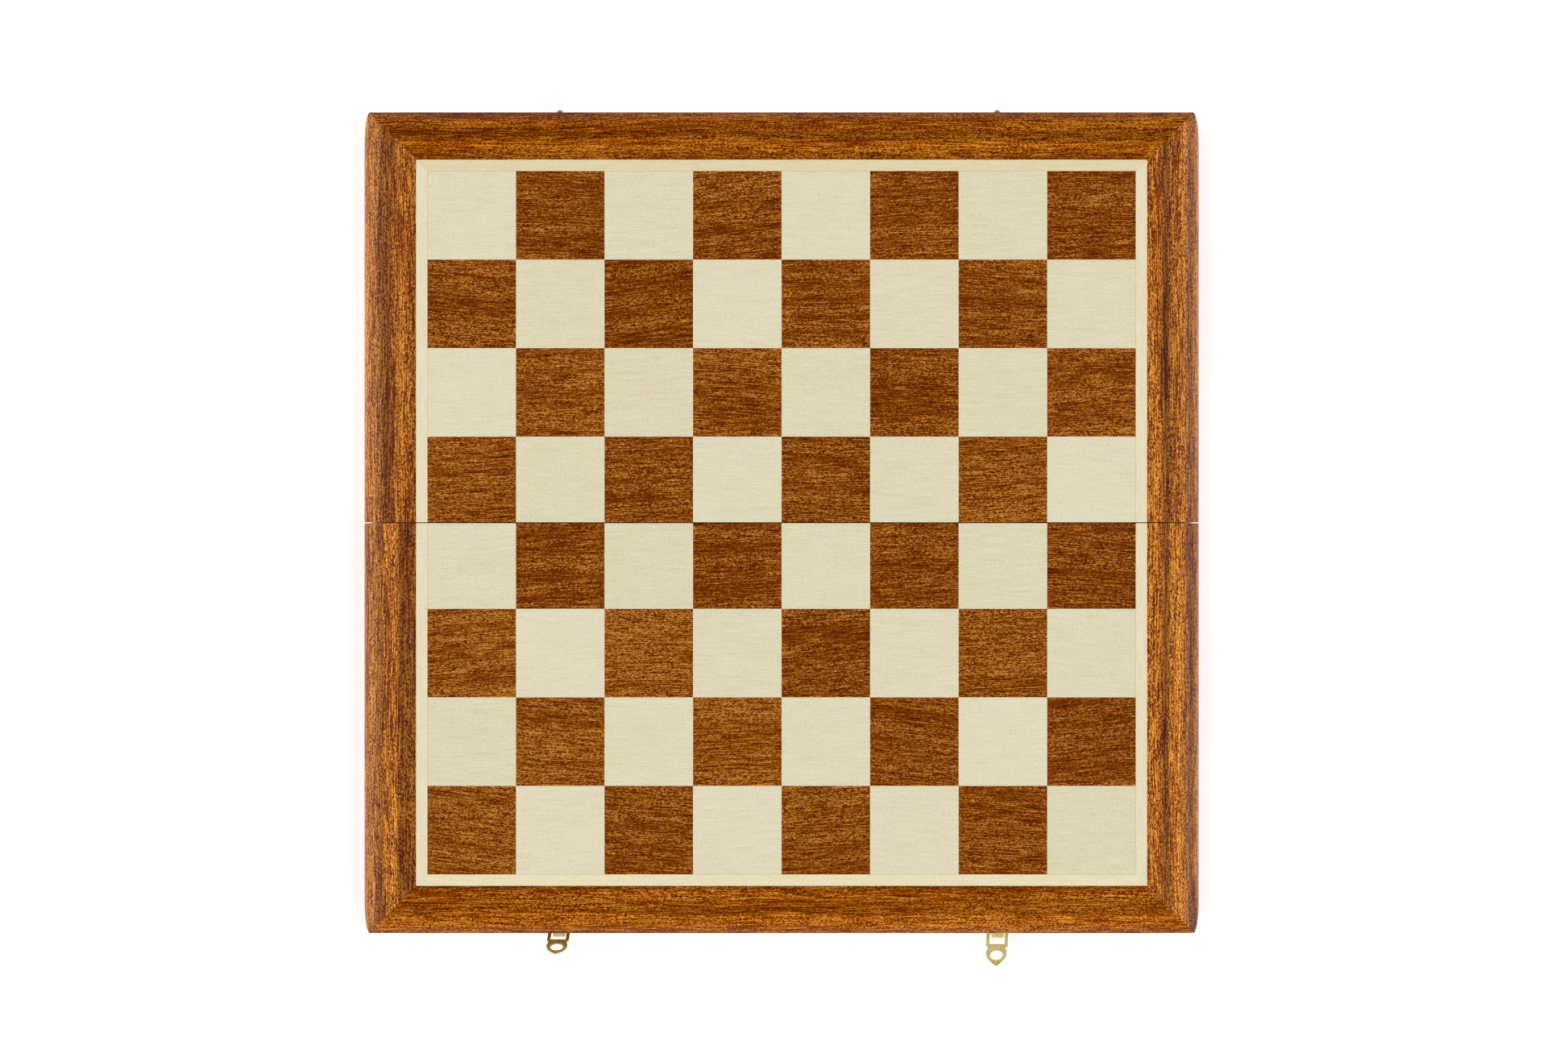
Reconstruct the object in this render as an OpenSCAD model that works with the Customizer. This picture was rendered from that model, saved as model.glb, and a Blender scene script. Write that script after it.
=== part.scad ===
// Folding chess board that closes into a case for its men.
// It lies open and flat: the playing surface faces +Z, the rims of both halves rest on z = 0,
// the seam runs along X through the origin, and the near half (with the hasps) is on the -Y side.
// Every length is in millimetres.

/* [Playing surface] */
// Side of one square
square = 55; // [50:1:60]
// How much shorter the two rows beside the seam are
seam_trim = 1.8; // [0:0.1:3]
// Width of the pale strip round the squares
strip_w = 7.15; // [5:0.05:9]
// Thickness of the veneer
veneer_t = 0.6; // [0.5:0.1:1]
// Gap left between neighbouring pieces of veneer
veneer_gap = 0.08; // [0.08:0.02:0.2]
// Gap between the two halves at the seam
seam_gap = 0.6; // [0.4:0.1:1]

/* [Case] */
// Height of one half, rim to playing surface
case_h = 30; // [28:0.5:34]
// Width of the moulding before any of it is planed off
rail_w = 34.75; // [32:0.05:36]
// How much is planed off the moulding on the hasp and post sides
planed = 4.45; // [3:0.05:5]
// Thickness of the side walls at the rim
wall_t = 12; // [11:0.5:13]
// Thickness of the wall along the seam
seam_wall_t = 10; // [10:0.5:12]
// Thickness of the panel under the veneer
panel_t = 6; // [5:0.5:7]
// Width of the ledge that carries the panel
ledge_w = 6; // [5:0.5:8]
// Height of the ledge's underside above the rim
ledge_z = 18; // [17:0.5:19]
// How far the rounding of a corner reaches along the side
corner_l = 30; // [20:1:40]
// How far the rounding of a corner reaches along the hasp side
corner_w = 5.3; // [3:0.1:8]

/* [Inside] */
// Thickness of the felt under the panel
felt_t = 1; // [0.8:0.1:1.2]
// Thickness of the plywood dividers
divider_t = 3; // [2.5:0.5:4]
// Compartments along the case, in each of two rows
bays = 4; // [3:1:5]

/* [Hinges] */
// Distance of each hinge from the middle of the seam
hinge_x = 150; // [120:5:180]
// Length of a hinge
hinge_l = 40; // [35:1:45]
// Width of a leaf, from the pin's axis
leaf_w = 9; // [8.5:0.1:9.2]
// Thickness of a leaf
leaf_t = 1; // [0.8:0.1:1.2]
// Outer radius of the knuckles
knuckle_r = 1.4; // [1.3:0.05:1.5]
// Radius of the pin
pin_r = 0.65; // [0.5:0.05:0.7]

/* [Hasps and posts] */
// Place of the left hasp along the case
left_hasp_x = -140; // [-150:1:-120]
// Place of the right hasp along the case
right_hasp_x = 136; // [120:1:150]
// Height of the hasps' pivots above the rim
pivot_z = 11; // [10.8:0.1:11.5]
// Distance of the left pivot from the wall
left_pivot_out = 1.5; // [1.5:0.1:2.4]
// Distance of the right pivot from the wall
right_pivot_out = 2.2; // [1.5:0.1:2.4]
// Slope of the left hasp above the horizontal
left_hasp_up = 67; // [-26:1:90]
// Slope of the right hasp above the horizontal
right_hasp_up = -26; // [-26:1:90]
// Height of the posts above their own rim
post_z = 7.8; // [7.4:0.1:8]

/* [Hidden] */
$fn = 48;
e = 0.01; // overlap between shapes that are joined

// Plan: v is the distance from the seam's centre, and a half is built on its +Y side.
v0 = seam_gap / 2;                       // the half's edge at the seam
field_x = 4 * square;                    // edge of the squares
field_v = v0 + 4 * square - seam_trim;
lip_x = field_x + strip_w;               // inner edge of the frame
lip_v = field_v + strip_w;
side_x = lip_x + rail_w;                 // outermost side
end_v = lip_v + rail_w - planed;         // flat outer face on the hasp and post sides
in_x = side_x - wall_t;                  // inner faces of the walls
in_v = lip_v + rail_w - wall_t;
seam_in_v = v0 + seam_wall_t;
fit = 0.05;                              // clearance of a piece let into another
seam_corner = 0.9;                       // chamfer of the side rails' corners at the seam

// Heights
veneer_z = case_h - veneer_t;
panel_z = veneer_z - panel_t;
felt_z = panel_z - felt_t;
pin_z = -0.1;                            // the pin's axis, so the shut rims stay 0.2 apart

// Moulding: a low dome on top that turns down over a rounded shoulder
dome_w = 22;
dome_drop = 1.2;
dome_r = (dome_w * dome_w + dome_drop * dome_drop) / (2 * dome_drop);
dome_slope = asin(dome_w / dome_r);
shoulder_r = (rail_w - dome_w) / (1 - sin(dome_slope));
shoulder_z = case_h - dome_drop - shoulder_r * cos(dome_slope);

// Hardware
mortise_gap = 0.3;
knuckles = 5;
knuckle_l = hinge_l / knuckles;
knuckle_gap = 0.1;
hinge_screw_r = 1.1;
hinge_head_r = 2.1;
hinge_head_t = 1;
hinge_screw_l = 11;
hinge_screw_x = 12;
hinge_screw_v = 5.9;
strap_w = 7.9;
strap_t = 0.8;
strap_z = 2;                             // lower end of the strap
strap_screw_z = [4.1, 7.4];
strap_screw_r = 0.7;
strap_screw_l = 6;
strap_head_r = 1.4;
strap_head_h = 0.6;
nose_r = 1.7;                            // the strap's nose stands out past the pivot
nose_out = 2;
hasp_t = 1;
hasp_w = 13.6;
bar_r = 0.75;
bar_fit = 0.05;
bar_w = 2;
window_end = 9.5;
eye_s = 17.6;
eye_hole_r = 4;
tip_s = 25.2;
bend_s = 21.9;
bend = 9;
post_foot_r = 3.2;
post_foot_h = 0.6;
post_neck_r = 1.2;
post_under = 3.3;                        // underside of the head, from the wall
post_head_r = 2;
post_head_h = 1.6;
post_shank_r = 0.9;
post_shank_l = 6.5;
felt_color = "darkolivegreen";

// ---- placing ----

// Builds its children on the half that lies on the given side: -1 near, +1 far
module on_half(side) { mirror([0, side < 0 ? 1 : 0, 0]) children(); }

// Builds its children on the given side of the middle: -1 left, +1 right
module on_side(side) { mirror([side < 0 ? 1 : 0, 0, 0]) children(); }

// A box from one corner to the other
module box(low, high) { translate(low) cube(high - low); }

// ---- case ----

// Section of the moulding: x is the distance outward from its inner lip, y is the height
module rail_section() {
  intersection() {
    union() {
      square_from([0, ledge_z], [rail_w, case_h]);
      square_from([-ledge_w, ledge_z], [rail_w, panel_z]);
      square_from([rail_w - wall_t, 0], [rail_w, case_h]);
    }
    union() {
      square_from([-ledge_w - 1, -1], [rail_w + 1, shoulder_z]);
      intersection() {
        translate([0, case_h - dome_r]) circle(dome_r, $fn = 256);
        square_from([-ledge_w - 1, 0], [dome_w, case_h + 1]);
      }
      translate([rail_w - shoulder_r, shoulder_z]) circle(shoulder_r, $fn = 96);
    }
  }
}

module square_from(low, high) { translate(low) square(high - low); }

// Outline of one half, with a rounded corner that reaches further along the side
function corner_points(n = 16) = [
  for (i = [0:n]) let (a = 90 * i / n)
    [side_x - corner_w + corner_w * cos(a), end_v - corner_l + corner_l * sin(a)]
];
module half_outline() {
  right = corner_points();
  left = [for (i = [len(right) - 1:-1:0]) [-right[i].x, right[i].y]];
  seam_right = [[side_x - seam_corner, v0], [side_x, v0 + seam_corner]];
  seam_left = [[-side_x, v0 + seam_corner], [-side_x + seam_corner, v0]];
  polygon(concat(seam_right, right, left, seam_left));
}

module half_prism() { translate([0, 0, -1]) linear_extrude(case_h + 2) half_outline(); }

// Plan of the part of the frame that belongs to the right rail, as far as the mitre
module side_rail_plan() {
  reach = rail_w + 20;
  polygon([
    [lip_x - ledge_w - 1, v0 - 1], [lip_x + reach, v0 - 1], [lip_x + reach, lip_v + reach],
    [lip_x - ledge_w - 1, lip_v - ledge_w - 1]
  ]);
}

// Right rail of a half; the left one is its mirror image
module side_rail() {
  color("sienna") intersection() {
    translate([lip_x, end_v + 1, 0]) rotate([90, 0, 0]) linear_extrude(end_v + 1 - v0) rail_section();
    translate([0, 0, -1]) linear_extrude(case_h + 2) side_rail_plan();
    half_prism();
  }
}

// Rail across the end of a half, mitred to both side rails
module end_rail() {
  reach = rail_w + 20;
  color("sienna") intersection() {
    translate([-side_x - 1, lip_v, 0]) rotate([90, 0, 90]) linear_extrude(2 * side_x + 2) rail_section();
    translate([0, 0, -1]) linear_extrude(case_h + 2) polygon([
      [-lip_x + ledge_w + 1, lip_v - ledge_w - 1], [lip_x - ledge_w - 1, lip_v - ledge_w - 1],
      [lip_x + reach, lip_v + reach], [-lip_x - reach, lip_v + reach]
    ]);
    half_prism();
  }
}

// End rail of the near half, drilled for the screws of the hasp straps
module front_rail() {
  color("sienna") difference() {
    end_rail();
    for (x = [left_hasp_x, right_hasp_x], z = strap_screw_z)
      drilled_in(x, z, strap_screw_r, strap_screw_l - strap_t);
  }
}

// End rail of the far half, drilled for the posts
module back_rail() {
  color("sienna") difference() {
    end_rail();
    for (x = [left_hasp_x, right_hasp_x]) drilled_in(x, post_z, post_shank_r, post_shank_l);
  }
}

// A hole drilled square into the flat outer face
module drilled_in(x, z, r, depth) {
  translate([x, end_v - depth, z]) rotate([-90, 0, 0]) cylinder(r = r, h = depth + 1);
}

// Wall along the seam, notched round the ledges, with mortises for the hinge leaves
module seam_wall() {
  color("peru") difference() {
    union() {
      box([-in_x, v0, 0], [in_x, seam_in_v, ledge_z]);
      box([-lip_x + ledge_w, v0, ledge_z - e], [lip_x - ledge_w, seam_in_v, panel_z]);
    }
    for (x = [-1, 1] * hinge_x) translate([x, 0, 0]) {
      half_l = hinge_l / 2 + mortise_gap;
      box([-half_l, 0, -1], [half_l, leaf_w + mortise_gap, leaf_t]);
      translate([-half_l, 0, pin_z]) rotate([0, 90, 0]) cylinder(r = knuckle_r + mortise_gap, h = 2 * half_l);
      for (dx = [-1, 1] * hinge_screw_x)
        translate([dx, hinge_screw_v, 0]) cylinder(r = hinge_screw_r, h = hinge_screw_l);
    }
  }
}

module panel() {
  color("burlywood") box([-lip_x + fit, v0, panel_z], [lip_x - fit, lip_v - fit, veneer_z]);
}

// ---- veneer ----

// Edge of row k, counted away from the seam
function row_v(k) = k == 0 ? v0 : v0 + k * square - seam_trim;

// The squares of one colour; the near left corner of the board is dark
module squares(side, dark) {
  gap = veneer_gap / 2;
  for (k = [0:3], c = [0:7]) {
    rank = side < 0 ? 3 - k : 4 + k;
    if (((rank + c) % 2 == 0) == dark)
      box([(c - 4) * square + gap, row_v(k) + (k == 0 ? 0 : gap), veneer_z],
          [(c - 3) * square - gap, row_v(k + 1) - gap, case_h]);
  }
}
module dark_squares(side) { color("saddlebrown") squares(side, true); }
module light_squares(side) { color("wheat") squares(side, false); }

module end_strip() {
  gap = veneer_gap / 2;
  color("wheat") translate([0, 0, veneer_z]) linear_extrude(veneer_t) polygon([
    [-field_x - gap, field_v + gap], [field_x + gap, field_v + gap],
    [lip_x - fit - gap, lip_v - fit], [-lip_x + fit + gap, lip_v - fit]
  ]);
}

module side_strip() {
  gap = veneer_gap / 2;
  color("wheat") translate([0, 0, veneer_z]) linear_extrude(veneer_t) polygon([
    [field_x + gap, v0], [lip_x - fit, v0],
    [lip_x - fit, lip_v - fit - gap], [field_x + gap, field_v]
  ]);
}

// ---- inside ----

module felt_lining() {
  x = lip_x - ledge_w - 0.5;
  color(felt_color) box([-x, seam_in_v + 0.5, felt_z], [x, lip_v - ledge_w - 0.5, panel_z]);
}

divider_z = 0.4;                         // the dividers stay just clear of the rim plane
divider_top = felt_z - fit;
half_lap_z = (divider_z + divider_top) / 2;
row_split_v = (seam_in_v + in_v) / 2;    // the divider between the two rows

// X of each divider across the case
function cross_x() = [for (i = [1:bays - 1]) (2 * i / bays - 1) * in_x];

// A board that stands on the felt in the middle and passes under the ledges at its ends
module divider_board(low_wide, high_wide, low_tall, high_tall) {
  box(concat(low_wide, [divider_z]), concat(high_wide, [ledge_z - fit]));
  box(concat(low_tall, [divider_z]), concat(high_tall, [divider_top]));
}

module long_divider() {
  t = divider_t / 2;
  color("tan") difference() {
    divider_board([-in_x + fit, row_split_v - t], [in_x - fit, row_split_v + t],
                  [-lip_x + ledge_w + 0.5, row_split_v - t], [lip_x - ledge_w - 0.5, row_split_v + t]);
    for (x = cross_x())
      box([x - t - fit, row_split_v - divider_t, -1], [x + t + fit, row_split_v + divider_t, half_lap_z]);
  }
}

module cross_dividers() {
  t = divider_t / 2;
  color("tan") for (x = cross_x()) difference() {
    divider_board([x - t, seam_in_v + fit], [x + t, in_v - fit],
                  [x - t, seam_in_v + fit], [x + t, lip_v - ledge_w - 0.5]);
    box([x - divider_t, row_split_v - t - fit, half_lap_z], [x + divider_t, row_split_v + t + fit, case_h]);
  }
}

// ---- hinges ----

// A leaf with every second knuckle, starting at the given one
module hinge_leaf(first) {
  color("gold") difference() {
    union() {
      box([-hinge_l / 2, knuckle_r + mortise_gap, 0], [hinge_l / 2, leaf_w, leaf_t]);
      for (k = [first:2:knuckles - 1]) translate([k * knuckle_l - hinge_l / 2 + knuckle_gap, 0, 0]) {
        l = knuckle_l - 2 * knuckle_gap;
        translate([0, 0, pin_z]) rotate([0, 90, 0]) cylinder(r = knuckle_r, h = l);
        box([0, 0, 0], [l, leaf_w / 2, leaf_t]);
      }
    }
    translate([-hinge_l, 0, pin_z]) rotate([0, 90, 0]) cylinder(r = pin_r + 0.03, h = 2 * hinge_l);
    for (dx = [-1, 1] * hinge_screw_x) translate([dx, hinge_screw_v, 0]) {
      translate([0, 0, -1]) cylinder(r = hinge_screw_r + fit, h = leaf_t + 2);
      translate([0, 0, -e]) cylinder(r1 = hinge_head_r + fit, r2 = hinge_screw_r + fit, h = hinge_head_t);
    }
  }
}

module hinge_pin() {
  color("goldenrod") translate([-hinge_l / 2, 0, pin_z]) rotate([0, 90, 0]) cylinder(r = pin_r, h = hinge_l);
}

// Slotted countersunk screws through the leaves of one half
module hinge_screws() {
  color("goldenrod") for (x = [-1, 1] * hinge_x, dx = [-1, 1] * hinge_screw_x)
    translate([x + dx, hinge_screw_v, 0]) difference() {
      union() {
        cylinder(r1 = hinge_head_r, r2 = hinge_screw_r, h = hinge_head_t);
        translate([0, 0, hinge_head_t - e]) cylinder(r = hinge_screw_r, h = hinge_screw_l - hinge_head_t - 2);
        translate([0, 0, hinge_screw_l - 2 - 2 * e]) cylinder(r1 = hinge_screw_r, r2 = 0.3, h = 2);
      }
      rotate(dx * 2) box([-3, -0.25, -1], [3, 0.25, 0.5]);
    }
}

// ---- hasps and posts ----

// Frame of the hardware on the end wall: its x is along the wall, y points out of it, z is up
module on_end(x) { translate([x, end_v, 0]) children(); }

// Fixed strap that runs up the wall and folds out round the hasp's bar
module hasp_strap(pivot_out) {
  nose = pivot_out + nose_out;
  color("gold") difference() {
    intersection() {
      union() {
        box([-strap_w / 2, 0, strap_z], [strap_w / 2, strap_t, pivot_z + nose_r]);
        box([-strap_w / 2, 0, pivot_z - nose_r], [strap_w / 2, nose, pivot_z + nose_r]);
        translate([-strap_w / 2, nose, pivot_z]) rotate([0, 90, 0]) cylinder(r = nose_r, h = strap_w);
      }
      linear_extrude(case_h) rounded_rectangle([-strap_w / 2, -3], [strap_w / 2, nose + nose_r], 1);
    }
    translate([-strap_w, pivot_out, pivot_z]) rotate([0, 90, 0]) cylinder(r = bar_r + bar_fit, h = 2 * strap_w);
    for (z = strap_screw_z)
      translate([0, -1, z]) rotate([-90, 0, 0]) cylinder(r = strap_screw_r + fit, h = 4);
  }
}

module rounded_rectangle(low, high, r) {
  square_from(low + [r, 0], high - [r, 0]);
  square_from(low + [0, r], high - [0, r]);
  for (x = [low.x + r, high.x - r], y = [low.y + r, high.y - r]) translate([x, y]) circle(r);
}

// Small slotted screw with a domed head
module strap_screw() {
  dome = (strap_head_r * strap_head_r + strap_head_h * strap_head_h) / (2 * strap_head_h);
  top = strap_t + strap_head_h;
  rotate([-90, 0, 0]) difference() {
    union() {
      translate([0, 0, strap_t - strap_screw_l]) cylinder(r = strap_screw_r, h = strap_screw_l + 0.2);
      intersection() {
        translate([0, 0, top - dome]) sphere(dome, $fn = 64);
        translate([0, 0, strap_t]) cylinder(r = strap_head_r, h = strap_head_h);
      }
    }
    box([-3, -0.2, top - 0.3], [3, 0.2, top + 3]);
  }
}
module hasp_screws() {
  color("goldenrod") for (x = [left_hasp_x, right_hasp_x], z = strap_screw_z)
    on_end(x) translate([0, 0, z]) rotate([0, 11 * z, 0]) strap_screw();
}

// Outline of the hasp: x is across it, y is the distance from the pivot
hasp_side = [
  [hasp_w / 2, 0], [hasp_w / 2, 10.4], [6.3, 10.9], [5.2, 11.4], [5.65, 12.3], [6.1, 13.5], [6.4, 14.9],
  [6.5, 16.3], [6.4, 17.7], [6, 19], [5.4, 20.1], [4.65, 21.1], [3.8, 22.1], [2.8, 23.2], [1.75, 24.2],
  [1, 24.85], [0.5, 25.15]
];
module hasp_outline() {
  other = [for (i = [len(hasp_side) - 1:-1:0]) [-hasp_side[i].x, hasp_side[i].y]];
  difference() {
    polygon(concat(hasp_side, other));
    square_from([-hasp_w / 2 + bar_w, -1], [hasp_w / 2 - bar_w, window_end]);
    translate([0, eye_s]) circle(eye_hole_r, $fn = 96);
  }
}

// Section along the hasp: its tip bends outward
module hasp_section() {
  t = hasp_t / 2;
  end = tip_s + 1;
  rise = (end - bend_s) * tan(bend);
  polygon([[0, -t], [bend_s, -t], [end, rise - t], [end, rise + t], [bend_s, t], [0, t]]);
}

// The hasp in its own frame: it lies along +Y from its pivot, with its outer face up
module flat_hasp() {
  color("gold") {
    intersection() {
      translate([0, 0, -5]) linear_extrude(10) hasp_outline();
      translate([-hasp_w, 0, 0]) rotate([90, 0, 90]) linear_extrude(2 * hasp_w) hasp_section();
    }
    translate([-hasp_w / 2, 0, 0]) rotate([0, 90, 0]) cylinder(r = bar_r, h = hasp_w);
  }
}

module hasp(pivot_out, up) { translate([0, pivot_out, pivot_z]) rotate([up, 0, 0]) flat_hasp(); }

// Post with a washer-like foot, a neck and a mushroom head
module latch_post() {
  dome = (post_head_r * post_head_r + post_head_h * post_head_h) / (2 * post_head_h);
  color("gold") translate([0, 0, post_z]) rotate([-90, 0, 0]) {
    translate([0, 0, -post_shank_l]) cylinder(r = post_shank_r, h = post_shank_l + 0.2);
    cylinder(r1 = post_foot_r, r2 = post_foot_r - 0.4, h = post_foot_h);
    cylinder(r = post_neck_r, h = post_under + 0.2);
    intersection() {
      translate([0, 0, post_under + post_head_h - dome]) sphere(dome, $fn = 64);
      translate([0, 0, post_under]) cylinder(r = post_head_r, h = post_head_h);
    }
  }
}

// ---- assembly ----

on_half(-1) front_rail();  // near_front_rail
on_half(-1) on_side(-1) side_rail();  // near_left_rail
on_half(-1) side_rail();  // near_right_rail
on_half(-1) seam_wall();  // near_seam_wall
on_half(-1) panel();  // near_panel
on_half(-1) dark_squares(-1);  // near_dark_squares
on_half(-1) light_squares(-1);  // near_light_squares
on_half(-1) end_strip();  // near_end_strip
on_half(-1) on_side(-1) side_strip();  // near_left_strip
on_half(-1) side_strip();  // near_right_strip
on_half(-1) felt_lining();  // near_felt_lining
on_half(-1) long_divider();  // near_long_divider
on_half(-1) cross_dividers();  // near_cross_dividers

back_rail();  // far_back_rail
on_side(-1) side_rail();  // far_left_rail
side_rail();  // far_right_rail
seam_wall();  // far_seam_wall
panel();  // far_panel
dark_squares(1);  // far_dark_squares
light_squares(1);  // far_light_squares
end_strip();  // far_end_strip
on_side(-1) side_strip();  // far_left_strip
side_strip();  // far_right_strip
felt_lining();  // far_felt_lining
long_divider();  // far_long_divider
cross_dividers();  // far_cross_dividers

translate([-hinge_x, 0, 0]) on_half(-1) hinge_leaf(0);  // left_hinge_near_leaf
translate([-hinge_x, 0, 0]) hinge_leaf(1);  // left_hinge_far_leaf
translate([-hinge_x, 0, 0]) hinge_pin();  // left_hinge_pin
translate([hinge_x, 0, 0]) on_half(-1) hinge_leaf(0);  // right_hinge_near_leaf
translate([hinge_x, 0, 0]) hinge_leaf(1);  // right_hinge_far_leaf
translate([hinge_x, 0, 0]) hinge_pin();  // right_hinge_pin
on_half(-1) hinge_screws();  // near_hinge_screws
hinge_screws();  // far_hinge_screws

on_half(-1) on_end(left_hasp_x) hasp_strap(left_pivot_out);  // left_hasp_strap
on_half(-1) on_end(right_hasp_x) hasp_strap(right_pivot_out);  // right_hasp_strap
on_half(-1) hasp_screws();
on_half(-1) on_end(left_hasp_x) hasp(left_pivot_out, left_hasp_up);  // left_hasp
on_half(-1) on_end(right_hasp_x) hasp(right_pivot_out, right_hasp_up);  // right_hasp
on_end(left_hasp_x) latch_post();  // left_latch_post
on_end(right_hasp_x) latch_post();  // right_latch_post
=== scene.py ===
import math

import bmesh
import bpy
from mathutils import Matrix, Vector, noise


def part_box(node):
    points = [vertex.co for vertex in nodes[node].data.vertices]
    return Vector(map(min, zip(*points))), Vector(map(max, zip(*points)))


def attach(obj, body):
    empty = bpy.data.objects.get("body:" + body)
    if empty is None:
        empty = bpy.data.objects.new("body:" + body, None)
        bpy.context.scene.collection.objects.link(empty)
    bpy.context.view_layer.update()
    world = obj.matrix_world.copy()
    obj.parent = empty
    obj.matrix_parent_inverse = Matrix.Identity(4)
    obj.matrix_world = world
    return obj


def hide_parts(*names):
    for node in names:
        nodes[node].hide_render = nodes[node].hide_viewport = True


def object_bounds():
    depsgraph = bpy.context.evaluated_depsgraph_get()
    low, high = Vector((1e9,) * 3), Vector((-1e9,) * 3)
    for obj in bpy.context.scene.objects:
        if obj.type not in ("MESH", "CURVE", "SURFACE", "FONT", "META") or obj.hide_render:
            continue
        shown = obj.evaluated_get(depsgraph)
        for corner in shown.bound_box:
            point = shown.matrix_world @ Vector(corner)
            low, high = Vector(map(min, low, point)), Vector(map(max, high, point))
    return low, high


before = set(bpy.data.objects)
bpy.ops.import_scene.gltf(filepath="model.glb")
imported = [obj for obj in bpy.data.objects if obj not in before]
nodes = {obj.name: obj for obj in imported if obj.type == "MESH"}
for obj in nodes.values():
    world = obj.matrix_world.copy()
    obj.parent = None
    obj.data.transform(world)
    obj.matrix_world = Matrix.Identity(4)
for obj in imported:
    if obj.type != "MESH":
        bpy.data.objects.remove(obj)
cad_low, cad_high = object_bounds()
scene = bpy.context.scene

# ---- lengths read from the frame, in metres ----

LIP_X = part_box("near_right_strip")[1].x          # inner edge of the moulding at the sides
LIP_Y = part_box("far_end_strip")[1].y             # and at the ends
SIDE_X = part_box("near_right_rail")[1].x          # outermost side
END_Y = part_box("far_back_rail")[1].y             # outermost far end
TOP_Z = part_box("near_dark_squares")[1].z         # playing surface
FIELD_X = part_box("near_light_squares")[1].x      # half the width of the eight squares
FIELD_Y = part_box("far_light_squares")[1].y       # half their length
SEAM_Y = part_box("near_light_squares")[1].y       # edge of the near half's squares, just short of the seam
SQUARE = FIELD_X / 4
SEAM_TRIM = 4 * SQUARE - FIELD_Y                 # how much shorter the squares beside the seam are

MM = 0.001


# ---- colours ----

def linear(c):
    """A display colour from 0 to 255, as the linear colour a shader takes."""
    out = []
    for v in c:
        v /= 255
        out.append(v / 12.92 if v <= 0.04045 else ((v + 0.055) / 1.055) ** 2.4)
    return (*out, 1.0)


def shifted(c, by):
    """A display colour with each channel moved by an amount, kept within 255."""
    return [min(255, v + d) for v, d in zip(c, by)]


# ---- node graphs ----

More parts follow.
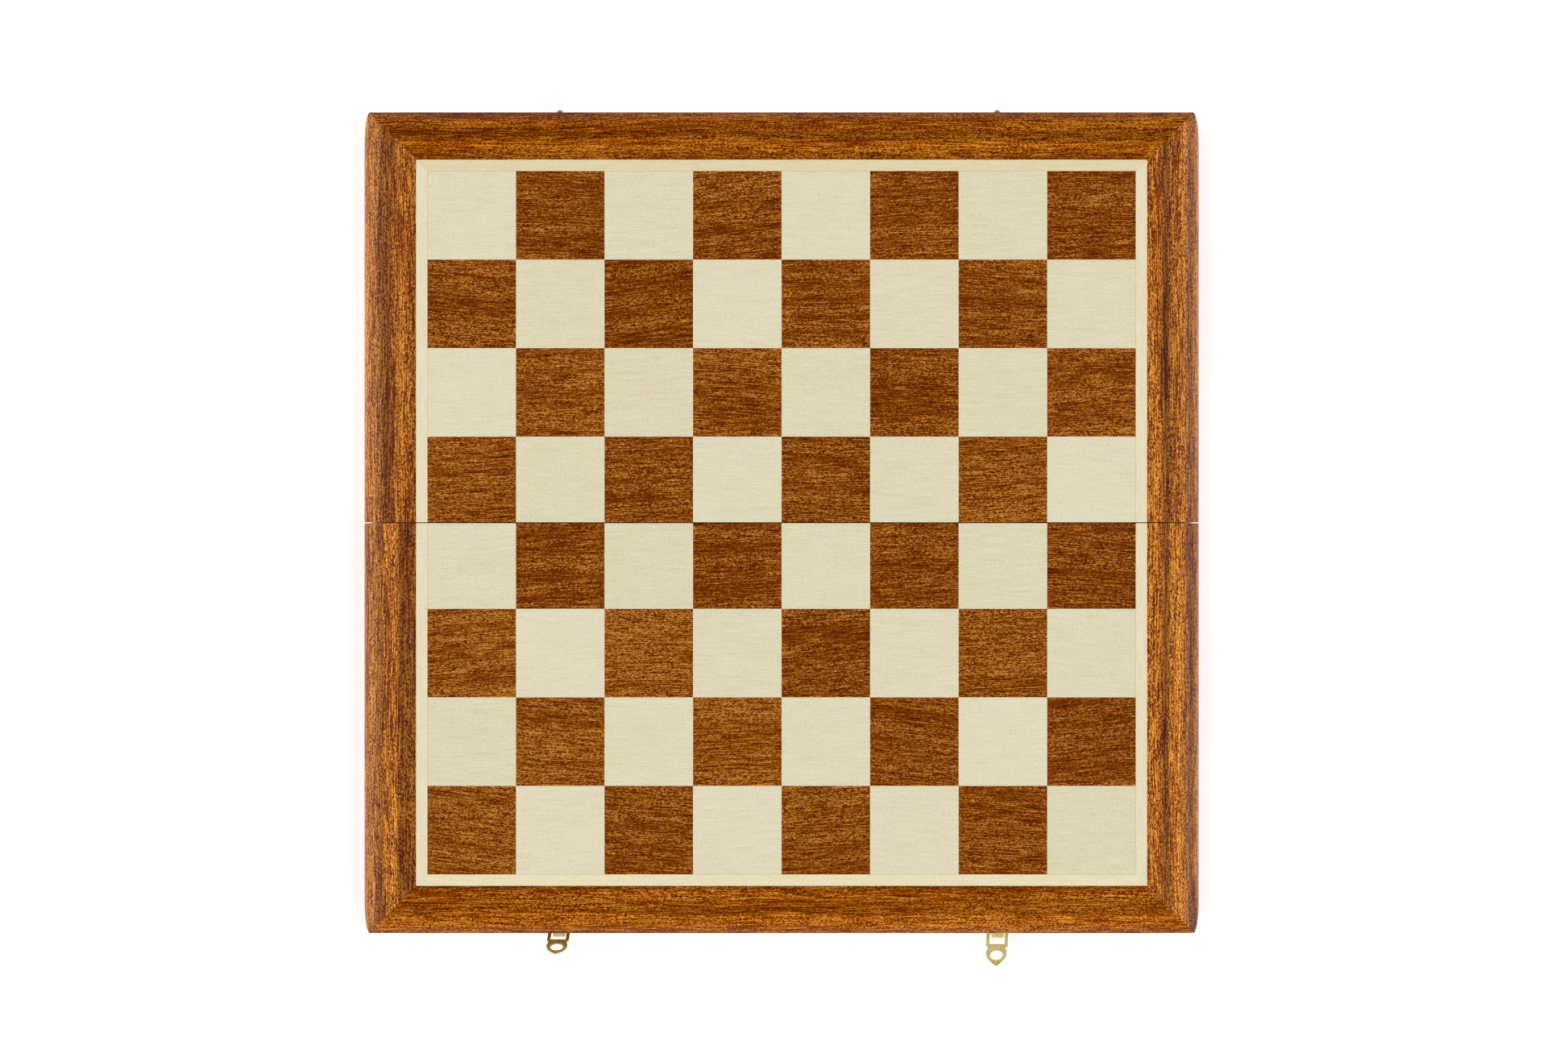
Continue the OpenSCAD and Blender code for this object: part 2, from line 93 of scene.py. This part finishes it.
class Graph:
    """A material's node tree, built with short calls. A socket or a number may be given for any input."""

    def __init__(self, name):
        self.material = bpy.data.materials.new(name)
        self.material.use_nodes = True
        self.tree = self.material.node_tree
        self.tree.nodes.clear()
        self.out = self.tree.nodes.new("ShaderNodeOutputMaterial")
        self.shader = self.tree.nodes.new("ShaderNodeBsdfPrincipled")
        self.tree.links.new(self.shader.outputs[0], self.out.inputs[0])

    def put(self, socket, value):
        if isinstance(value, bpy.types.NodeSocket):
            self.tree.links.new(value, socket)
        else:
            socket.default_value = value

    def math(self, operation, *values):
        n = self.tree.nodes.new("ShaderNodeMath")
        n.operation = operation
        for socket, value in zip(n.inputs, values):
            self.put(socket, value)
        return n.outputs[0]

    def add(self, *terms):
        total = terms[0]
        for t in terms[1:]:
            total = self.math("ADD", total, t)
        return total

    def mul(self, a, b):
        return self.math("MULTIPLY", a, b)

    def swing(self, value, width):
        """A value from 0 to 1 as a swing of this width about 0."""
        return self.math("MULTIPLY_ADD", value, width, -0.5 * width)

    def step(self, value, low, high, to_low=0.0, to_high=1.0):
        """Smooth change of value from low to high, mapped to the second range."""
        n = self.tree.nodes.new("ShaderNodeMapRange")
        n.interpolation_type = "SMOOTHSTEP"
        self.put(n.inputs["Value"], value)
        for key, v in (("From Min", low), ("From Max", high), ("To Min", to_low), ("To Max", to_high)):
            self.put(n.inputs[key], v)
        return n.outputs[0]

    def vector(self, x, y, z):
        n = self.tree.nodes.new("ShaderNodeCombineXYZ")
        for socket, value in zip(n.inputs, (x, y, z)):
            self.put(socket, value)
        return n.outputs[0]

    def place(self):
        """The shaded point in the object's own coordinates, as three sockets."""
        n = self.tree.nodes.new("ShaderNodeTexCoord")
        s = self.tree.nodes.new("ShaderNodeSeparateXYZ")
        self.tree.links.new(n.outputs["Object"], s.inputs[0])
        return s.outputs[0], s.outputs[1], s.outputs[2]

    def noise(self, vector, scale=1.0, detail=2.0, rough=0.5, warp=0.0):
        n = self.tree.nodes.new("ShaderNodeTexNoise")
        self.put(n.inputs["Vector"], vector)
        for key, v in (("Scale", scale), ("Detail", detail), ("Roughness", rough), ("Distortion", warp)):
            n.inputs[key].default_value = v
        return n.outputs["Fac"]

    def grain(self, point, long_mm, wide_mm, detail=2.0, rough=0.6, lift=0.0):
        """Noise drawn out along the grain, its marks about so long and so wide. point is the place
        along the grain, across it and up. Layers of one size take different lifts."""
        along, across, up = point
        k = 1 / (wide_mm * MM)
        stretched = self.vector(self.mul(along, 1 / (long_mm * MM)),
                                self.add(self.mul(across, k), lift), self.mul(up, k))
        return self.noise(stretched, detail=detail, rough=rough)

    def random(self, vector):
        """Three random values for a place."""
        n = self.tree.nodes.new("ShaderNodeTexWhiteNoise")
        n.noise_dimensions = "3D"
        self.put(n.inputs["Vector"], vector)
        s = self.tree.nodes.new("ShaderNodeSeparateColor")
        self.tree.links.new(n.outputs["Color"], s.inputs[0])
        return s.outputs[0], s.outputs[1], s.outputs[2]

    def ramp(self, value, stops, curve="LINEAR"):
        """Colours at places from 0 to 1. The colours themselves end at 1."""
        n = self.tree.nodes.new("ShaderNodeValToRGB")
        n.color_ramp.interpolation = curve
        self.put(n.inputs[0], value)
        band = n.color_ramp.elements
        while len(band) < len(stops):
            band.new(1.0)
        for e, (at, colour) in zip(band, stops):
            e.position, e.color = at, colour
        return n.outputs[0]

    def tint(self, colour, factors):
        """The colour multiplied channel by channel. factors may be a socket or three numbers."""
        n = self.tree.nodes.new("ShaderNodeVectorMath")
        n.operation = "MULTIPLY"
        self.put(n.inputs[0], colour)
        self.put(n.inputs[1], factors)
        return n.outputs[0]

    def bump(self, height, strength, distance):
        n = self.tree.nodes.new("ShaderNodeBump")
        n.inputs["Strength"].default_value = strength
        n.inputs["Distance"].default_value = distance
        self.put(n.inputs["Height"], height)
        return n.outputs[0]

    def finish(self, **inputs):
        """Sets the shader's inputs, named with _ for each space, and gives the material."""
        for key, v in inputs.items():
            self.put(self.shader.inputs[key.replace("_", " ")], v)
        return self.material


def dress(material, *names):
    for name in names:
        mesh = nodes[name].data
        mesh.materials.clear()
        mesh.materials.append(material)


# ---- wood ----

# from the open pores to the lightest flecks
DARK_WOOD = [
    (0.00, linear((78, 26, 0))), (0.20, linear((100, 40, 0))), (0.38, linear((118, 54, 0))),
    (0.52, linear((133, 66, 3))), (0.68, linear((152, 82, 9))), (0.84, linear((175, 106, 28))),
    (1.00, linear((200, 136, 60)))]


def own_grain(g, x, y, seed):
    """Three random values for the square that a point is in. The rows count away from the seam."""
    hair = 0.1 * MM                              # keeps the outermost edge in the last row
    column = g.math("FLOOR", g.math("DIVIDE", x, SQUARE))
    away = g.add(g.math("ABSOLUTE", y), SEAM_TRIM - hair)
    row = g.mul(g.math("FLOOR", g.math("DIVIDE", away, SQUARE)), g.math("SIGN", y))
    return g.random(g.vector(column, row, seed))


def across_rail(g, along, x, y):
    """How far a point is across a rail, from 0 at the lip to 1 outside."""
    if along == "y":
        across, inner, outer = x, LIP_X, SIDE_X
    else:
        across, inner, outer = y, LIP_Y, END_Y
    return g.math("DIVIDE", g.math("SUBTRACT", g.math("ABSOLUTE", across), inner), outer - inner)


def figured(name, along, seed=0.0, squares=False, tone=None, bands=(), contrast=1.0, sparkle=0.12,
            rough=0.2, shine=0.28):
    """Varnished interlocked-grain hardwood: ribbons, broken streaks, flecks and open pores.
    along is the grain's axis. bands are the light and dark bands across a rail, as (share of the width from
    the lip, brightness), and tone is the colour that they all share. On the rails that catch the lamps,
    bands and tone are partly painted sheen."""
    g = Graph(name)
    x, y, z = g.place()
    u, v = (x, y) if along == "x" else (y, x)
    shade = 0.0
    if squares:
        # each square is cut from another place, metres away, at a slightly different angle
        turn, shift, drift = own_grain(g, x, y, seed)
        v = g.add(v, g.mul(u, g.swing(turn, 0.22)), g.mul(drift, 5.0))
        u = g.add(u, g.mul(shift, 7.0))
        shade = g.swing(shift, 0.16)
    else:
        u, v = g.add(u, seed * 1.7), g.add(v, seed * 0.9)
    wander = g.noise(g.vector(g.mul(u, 9), g.mul(v, 16), g.mul(z, 16)), detail=1)
    point = u, g.add(v, g.swing(wander, 7 * MM)), z

    ribbon = g.grain(point, 150, 8, rough=0.5)
    streak = g.grain(point, 70, 2, detail=3)
    line = g.grain(point, 17, 0.6)
    fleck = g.grain(point, 1.4, 0.45)
    vein = g.step(g.grain(point, 40, 1.1, detail=1, rough=0.5, lift=90), 0.62, 0.74)
    pore = g.step(g.grain(point, 4, 0.5, detail=1, rough=0.5, lift=40), 0.56, 0.66)
    lively = g.step(ribbon, 0.38, 0.62, 0.7, 1.2)

    depth = g.add(
        0.5, shade,
        g.swing(ribbon, 0.5 * contrast), g.swing(streak, 0.7 * contrast), g.swing(line, 2.4 * contrast),
        g.mul(g.swing(fleck, 3.6 * contrast), lively),
        g.mul(vein, 0.12 * contrast), g.mul(pore, -0.2 * contrast))
    colour = g.ramp(depth, DARK_WOOD)
    if bands:
        at = g.add(across_rail(g, along, x, y), g.swing(wander, 0.12))
        # the brightest band is over 1, where a ramp's colours end, so the ramp holds half of each
        # a band's blue grows fastest, so a bright band turns whiter as well as lighter: painted sheen
        halves = [(p, (k / 2, k ** 1.15 / 2, k ** 1.5 / 2, 1)) for p, k in bands]
        colour = g.tint(g.tint(colour, g.ramp(at, halves, "CARDINAL")), [2 * c for c in tone])
    relief = g.add(g.mul(line, 0.3), fleck, g.mul(pore, -0.5))
    gloss = g.add(rough, g.mul(pore, 0.08), g.swing(streak, 0.06))
    return g.finish(Base_Color=colour, Roughness=gloss, Specular_IOR_Level=shine,
                    Normal=g.bump(relief, sparkle, 0.4 * MM))


def pale(name, along, base, seed=0.0, squares=False):
    """Close-grained pale veneer with a faint figure, in shades close to base."""
    g = Graph(name)
    x, y, z = g.place()
    u, v = (x, y) if along == "x" else (y, x)
    shade = 0.0
    if squares:
        turn, shift, drift = own_grain(g, x, y, 3.0)
        v = g.add(v, g.mul(u, g.swing(turn, 0.14)), g.mul(drift, 4.0))
        u = g.add(u, g.mul(shift, 9.0))
        shade = g.swing(shift, 0.3)
    else:
        u = g.add(u, seed)
    wander = g.noise(g.vector(g.mul(u, 9), g.mul(v, 16), z), detail=1)
    point = u, g.add(v, g.swing(wander, 2 * MM)), z

    line = g.grain(point, 18, 0.6)
    streak = g.grain(point, 60, 2.5)
    cloud = g.grain(point, 30, 14)
    fibre = g.grain(point, 1.1, 0.7)
    depth = g.add(
        0.5, shade,
        g.swing(line, 2.1), g.swing(streak, 0.6), g.swing(cloud, 0.4), g.swing(fibre, 3.0))
    colour = g.ramp(depth, [(0.0, linear(shifted(base, (-9, -11, -16)))), (0.5, linear(base)),
                            (1.0, linear(shifted(base, (6, 7, 10))))])
    return g.finish(Base_Color=colour, Roughness=g.math("MULTIPLY_ADD", streak, 0.1, 0.27),
                    Specular_IOR_Level=0.4, Normal=g.bump(g.add(line, fibre), 0.2, 0.08 * MM))


def plywood(name, along):
    """Sealed birch ply, with thin darker lines along its grain."""
    g = Graph(name)
    x, y, z = g.place()
    u, v = (x, y) if along == "x" else (y, x)
    line = g.noise(g.vector(g.mul(u, 30), g.mul(v, 700), g.mul(z, 700)), detail=3, rough=0.6)
    cloud = g.noise(g.vector(g.mul(u, 12), g.mul(v, 40), g.mul(z, 40)), detail=2, warp=0.6)
    depth = g.add(g.mul(line, 0.6), g.mul(cloud, 0.6), -0.1)
    colour = g.ramp(depth, [(0.2, linear((168, 128, 84))), (0.5, linear((206, 170, 122))),
                            (0.8, linear((226, 198, 154)))])
    return g.finish(Base_Color=colour, Roughness=0.55, Normal=g.bump(line, 0.3, 0.15 * MM))


RAIL_SHINE = 0.16


def side_rail(name, seed, bands):
    """A side rail catches the lamps, so its figure is strong and its varnish glitters. Its paler, greyer
    tone, its whitened bright bands and part of its figure's contrast are painted sheen from those lamps,
    over the wood's own colour and stripes.
    """
    dress(figured(name + "_wood", "y", seed, tone=(1.2, 1.12, 0.72), bands=bands, contrast=1.7, sparkle=0.3,
                  shine=RAIL_SHINE), name)


def end_rail(name, seed, tone, contrast, bands):
    """An end rail lies across the lamps' light, so its figure is quieter and it hardly glitters."""
    dress(figured(name + "_wood", "x", seed, tone=tone, bands=bands, contrast=contrast, sparkle=0.06,
                  shine=RAIL_SHINE), name)


# bands across each side rail: the wood's own stripes, with painted sheen in the bright, whitened ones
side_rail("far_left_rail", 1.3, ((0, 0.8), (0.26, 1.15), (0.55, 0.62), (0.8, 1.2), (1, 1.35)))
side_rail("near_left_rail", 2.1, (
    (0, 0.75), (0.2, 0.58), (0.3, 0.8), (0.41, 1.45), (0.48, 1.1), (0.54, 1.3), (0.64, 0.8), (0.8, 1.25),
    (0.88, 1.0), (1, 1.1)))
side_rail("far_right_rail", 3.4, (
    (0, 1.2), (0.14, 1.25), (0.25, 1.05), (0.35, 0.52), (0.45, 0.92), (0.54, 1.2), (0.7, 1.15), (0.79, 0.6),
    (0.9, 1.1), (1, 1.05)))
side_rail("near_right_rail", 3.4, (
    (0, 1.1), (0.14, 1.25), (0.25, 1.0), (0.34, 0.56), (0.42, 1.05), (0.53, 1.5), (0.63, 1.2), (0.72, 0.88),
    (0.79, 0.54), (0.9, 1.0), (1, 1.0)))
end_rail("far_back_rail", 5.2, (1.0, 0.9, 0.42), 1.05, (
    (0, 0.8), (0.12, 1.03), (0.33, 1.28), (0.5, 0.78), (0.62, 0.9), (0.72, 1.1), (0.85, 0.92), (1, 0.75)))
# the near rail's paler, greyer tone than the far rail's is partly painted sheen, over the wood's own colour
end_rail("near_front_rail", 6.7, (1.2, 1.12, 0.75), 1.0, (
    (0, 0.72), (0.19, 1.05), (0.35, 0.92), (0.5, 0.9), (0.7, 1.18), (0.88, 1.1), (1, 0.95)))
dress(figured("seam_wall_wood", "x", 8.8, rough=0.45), "near_seam_wall", "far_seam_wall")

dress(figured("dark_veneer", "x", squares=True), "near_dark_squares", "far_dark_squares")
dress(pale("light_veneer", "x", (224, 216, 185), squares=True), "near_light_squares", "far_light_squares")
# one veneer in three colours: the greyer, paler colour of the side strips, and less so of the near strip,
# is partly painted sheen from the side lamps
dress(pale("side_strip_veneer", "y", (231, 221, 188), 0.5),
      "near_left_strip", "near_right_strip", "far_left_strip", "far_right_strip")
dress(pale("near_strip_veneer", "x", (235, 223, 186), 1.5), "near_end_strip")
dress(pale("far_strip_veneer", "x", (227, 212, 172), 2.5), "far_end_strip")

dress(plywood("panel_plywood", "x"), "near_panel", "far_panel")
dress(plywood("long_divider_plywood", "x"), "near_long_divider", "far_long_divider")
dress(plywood("cross_divider_plywood", "y"), "near_cross_dividers", "far_cross_dividers")


# ---- brass ----

def brass(name, base, metal, rough, seed=0.0):
    """Lacquered brass with fine scratches and a little tarnish."""
    g = Graph(name)
    x, y, z = g.place()
    point = g.vector(g.add(x, seed), y, z)
    stain = g.noise(point, 420, 3, 0.6)
    grit = g.noise(point, 3200, 2, 0.6)
    scratch = g.noise(g.vector(g.mul(x, 900), g.mul(y, 9000), g.mul(z, 9000)))
    colour = g.ramp(stain, [(0.25, linear(shifted(base, (-30, -32, -34)))), (0.5, linear(base)),
                            (0.8, linear(shifted(base, (10, 12, 14))))])
    gloss = g.add(rough, g.swing(stain, 0.16), g.swing(grit, 0.1))
    relief = g.add(g.mul(scratch, 0.5), g.mul(grit, 0.5))
    return g.finish(Base_Color=colour, Metallic=metal, Roughness=gloss,
                    Normal=g.bump(relief, 0.35, 0.05 * MM))


dress(brass("hinge_brass", (214, 184, 118), 0.9, 0.32),
      "left_hinge_near_leaf", "left_hinge_far_leaf", "right_hinge_near_leaf", "right_hinge_far_leaf")
dress(brass("pin_brass", (196, 160, 92), 0.9, 0.34, 0.3), "left_hinge_pin", "right_hinge_pin")
dress(brass("screw_brass", (190, 152, 86), 0.8, 0.36, 0.6),
      "near_hinge_screws", "far_hinge_screws", "hasp_screws")
# painted reflection: the straps' near-white colour and low metal stand for the glare of a bright light
# overhead
dress(brass("strap_brass_painted_glare", (248, 234, 168), 0.25, 0.4, 0.9), "left_hasp_strap", "right_hasp_strap")
# one brass in two colours set by how each hasp is lit: the left one's deeper colour is painted shade, the
# right one's paler colour painted reflection
dress(brass("left_hasp_brass_painted_shade", (190, 167, 88), 0.5, 0.42, 1.2), "left_hasp")
dress(brass("right_hasp_brass_painted_reflection", (208, 190, 126), 0.5, 0.42, 1.5), "right_hasp")
dress(brass("post_brass", (190, 160, 100), 0.6, 0.4, 1.8), "left_latch_post", "right_latch_post")


# ---- pieces made here ----

def made_piece(name, bm, material):
    """A piece from a finished bmesh, which is freed."""
    bmesh.ops.recalc_face_normals(bm, faces=bm.faces)
    mesh = bpy.data.meshes.new(name)
    bm.to_mesh(mesh)
    bm.free()
    mesh.materials.append(material)
    piece = bpy.data.objects.new(name, mesh)
    scene.collection.objects.link(piece)
    return piece


def glue_material(name):
    g = Graph(name)
    spot = g.noise(g.vector(*g.place()), 900, 2, 0.6)
    colour = g.ramp(spot, [(0.3, linear((196, 168, 122))), (0.7, linear((226, 208, 168)))])
    return g.finish(Base_Color=colour, Roughness=g.math("MULTIPLY_ADD", spot, 0.2, 0.3))


def glue_lines(name, body, side):
    """Glue that fills the hair gaps between the squares of a half.
    side is -1 for the near half and 1 for the far one."""
    half_w = 0.1 * MM
    low, high = TOP_Z - 0.3 * MM, TOP_Z - 0.02 * MM
    bars = []
    for column in range(-3, 4):
        bars.append(((column * SQUARE - half_w, -SEAM_Y), (column * SQUARE + half_w, FIELD_Y)))
    for row in range(1, 4):
        at = row * SQUARE - SEAM_TRIM
        bars.append(((-FIELD_X, at - half_w), (FIELD_X, at + half_w)))
    bm = bmesh.new()
    # each bar is a unit cube drawn out to its corners
    for (x0, y0), (x1, y1) in bars:
        for v in bmesh.ops.create_cube(bm, size=1.0)["verts"]:
            px = x0 if v.co.x < 0 else x1
            py = y0 if v.co.y < 0 else y1
            pz = low if v.co.z < 0 else high
            v.co = (px, side * py, pz)
    piece = made_piece(name, bm, glue_material(name + "_glue"))
    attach(piece, body)


glue_lines("near_glue_lines", "near_half", -1)
glue_lines("far_glue_lines", "far_half", 1)


# ---- felt ----

def felt_material():
    g = Graph("green_felt")
    point = g.vector(*g.place())
    wool = g.noise(point, 1500, 4, 0.7, 0.4)
    tuft = g.noise(point, 260, 3, 0.6)
    press = g.noise(point, 24, 2, 0.5)
    depth = g.add(g.mul(wool, 0.5), g.mul(tuft, 0.35), g.mul(press, 0.25), -0.05)
    colour = g.ramp(depth, [(0.25, linear((18, 52, 30))), (0.5, linear((34, 84, 50))),
                            (0.8, linear((66, 120, 80)))])
    relief = g.add(wool, g.mul(tuft, 0.8))
    return g.finish(Base_Color=colour, Roughness=0.95, Sheen_Weight=0.45, Sheen_Roughness=0.5,
                    Normal=g.bump(relief, 0.8, 0.4 * MM))


def felt_sheet(name, node, body, material):
    """A sheet glued under the panel. Its open face is softly uneven, and drawn up at its edge."""
    low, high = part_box(node)
    nx, ny = 110, 52                             # steps along the grid
    inset = 0.3 * MM
    width, length = high.x - low.x - 2 * inset, high.y - low.y - 2 * inset
    bm = bmesh.new()
    grid = {}
    for side in (0, 1):                          # 0 is the open face, 1 the glued one
        for i in range(nx + 1):
            for j in range(ny + 1):
                px = low.x + inset + width * i / nx
                py = low.y + inset + length * j / ny
                pz = high.z
                if side == 0:
                    wave = noise.noise(Vector((px * 42, py * 42, 7.3)))
                    ripple = noise.noise(Vector((px * 150, py * 150, 2.1)))
                    at_edge = i in (0, nx) or j in (0, ny)
                    pz = low.z + (0.12 + 0.1 * (wave + 0.5 * ripple) + (0.3 if at_edge else 0.0)) * MM
                grid[side, i, j] = bm.verts.new((px, py, pz))
    for side in (0, 1):
        for i in range(nx):
            for j in range(ny):
                bm.faces.new((grid[side, i, j], grid[side, i, j + 1],
                              grid[side, i + 1, j + 1], grid[side, i + 1, j]))
    rim = [(i, 0) for i in range(nx)] + [(nx, j) for j in range(ny)]
    rim += [(i, ny) for i in range(nx, 0, -1)] + [(0, j) for j in range(ny, 0, -1)]
    for a, b in zip(rim, rim[1:] + rim[:1]):
        bm.faces.new((grid[0, *a], grid[0, *b], grid[1, *b], grid[1, *a]))
    piece = made_piece(name, bm, material)
    for f in piece.data.polygons:
        f.use_smooth = True
    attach(piece, body)
    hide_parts(node)


felt = felt_material()
felt_sheet("near_felt_sheet", "near_felt_lining", "near_half", felt)
felt_sheet("far_felt_sheet", "far_felt_lining", "far_half", felt)


# ---- floor ----

FLOOR_REACH = 6                                  # half the side of each floor
FLOOR_GLOW = 0.42                                # keeps the pale floor even under soft light


def floor_glow(g, x, y):
    """No glow under the seam, which would shine through it."""
    beside_seam = g.step(g.math("ABSOLUTE", y), 10 * MM, 50 * MM)
    past_sides = g.step(g.math("ABSOLUTE", x), SIDE_X - 2 * MM, SIDE_X)
    return g.mul(g.math("MAXIMUM", beside_seam, past_sides), FLOOR_GLOW)


def show_at_rest(g, own_place):
    """The material is clear wherever the object has been moved from the place it was made at."""
    moved = g.tree.nodes.new("ShaderNodeVectorMath")
    moved.operation = "DISTANCE"
    g.put(moved.inputs[0], g.tree.nodes.new("ShaderNodeNewGeometry").outputs["Position"])
    g.put(moved.inputs[1], own_place)
    clear = g.tree.nodes.new("ShaderNodeBsdfTransparent")
    blend = g.tree.nodes.new("ShaderNodeMixShader")
    g.put(blend.inputs[0], g.math("GREATER_THAN", moved.outputs["Value"], 0.5 * MM))
    g.put(blend.inputs[1], g.shader.outputs[0])
    g.put(blend.inputs[2], clear.outputs[0])
    g.put(g.out.inputs[0], blend.outputs[0])


def floor_plane(name, height, body=None):
    """A plain pale floor. The one that the open board stands on rides on the half that folds under the
    other, and is there only while that half lies at rest; the shut board stands on the lower one."""
    g = Graph(name)
    x, y, z = g.place()
    dust = g.noise(g.vector(x, y, z), 6, 3, 0.5)
    colour = g.ramp(dust, [(0.3, (0.86, 0.86, 0.86, 1)), (0.7, (0.9, 0.9, 0.9, 1))])
    g.finish(Base_Color=colour, Roughness=0.9, Emission_Color=(1, 1, 1, 1),
             Emission_Strength=floor_glow(g, x, y) if body else FLOOR_GLOW)
    if body:
        show_at_rest(g, g.vector(x, y, z))
    corners = [(a * FLOOR_REACH, b * FLOOR_REACH, height) for a, b in ((-1, -1), (1, -1), (1, 1), (-1, 1))]
    mesh = bpy.data.meshes.new(name)
    mesh.from_pydata(corners, [], [(0, 1, 2, 3)])
    mesh.materials.append(g.material)
    plane = bpy.data.objects.new(name, mesh)
    scene.collection.objects.link(plane)
    if body:
        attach(plane, body)


floor_plane("floor_open", cad_low.z - 0.05 * MM, "far_half")
floor_plane("floor_shut", -TOP_Z - 0.3 * MM)


# ---- light ----

def studio_world():
    """Bright round the horizon and dark overhead. The ramp runs with the sine of the elevation."""
    world = bpy.data.worlds.new("studio")
    scene.world = world
    world.use_nodes = True
    tree = world.node_tree
    tree.nodes.clear()
    place = tree.nodes.new("ShaderNodeTexCoord")
    split = tree.nodes.new("ShaderNodeSeparateXYZ")
    ramp = tree.nodes.new("ShaderNodeValToRGB")
    back = tree.nodes.new("ShaderNodeBackground")
    out = tree.nodes.new("ShaderNodeOutputWorld")
    tree.links.new(place.outputs["Generated"], split.inputs[0])
    tree.links.new(split.outputs[2], ramp.inputs[0])
    tree.links.new(ramp.outputs[0], back.inputs[0])
    tree.links.new(back.outputs[0], out.inputs[0])
    band = ramp.color_ramp.elements
    band.new(0.45)
    band.new(0.65)
    for e, (at, c) in zip(band, ((0.0, 1.0), (0.45, 0.95), (0.65, 0.1), (1.0, 0.0))):
        e.position, e.color = at, (c, c, c, 1)


LAMP_POWER = 1.68
LAMP_WIDTH = math.radians(56)                    # how much of the sky a lamp takes up
LAMP_HEIGHT = math.radians(40)                   # its elevation


def softbox(name, azimuth):
    """A broad lamp, far off to one side."""
    light = bpy.data.lights.new(name, "SUN")
    light.energy, light.angle = LAMP_POWER, LAMP_WIDTH
    lamp = bpy.data.objects.new(name, light)
    a, e = math.radians(azimuth), LAMP_HEIGHT
    toward = Vector((math.cos(e) * math.cos(a), math.cos(e) * math.sin(a), math.sin(e)))
    lamp.rotation_euler = toward.to_track_quat("Z", "Y").to_euler()
    scene.collection.objects.link(lamp)


studio_world()
softbox("left_softbox", 180)
softbox("right_softbox", 0)


# ---- camera ----

PICTURE_SPAN = 2.2144                            # width of the picture over that of the eight squares
CAMERA_X, CAMERA_Y = 1.5 * MM, 0.15 * MM         # a little off the board's middle

camera_data = bpy.data.cameras.new("camera")
camera_data.lens, camera_data.sensor_width = 50.0, 36.0
above = 8 * SQUARE * PICTURE_SPAN * camera_data.lens / camera_data.sensor_width
camera = bpy.data.objects.new("camera", camera_data)
camera.location = (CAMERA_X, CAMERA_Y, TOP_Z + above)
scene.collection.objects.link(camera)
scene.camera = camera
scene.view_settings.view_transform = "Standard"
scene.view_settings.look = "None"

bpy.context.view_layer.update()
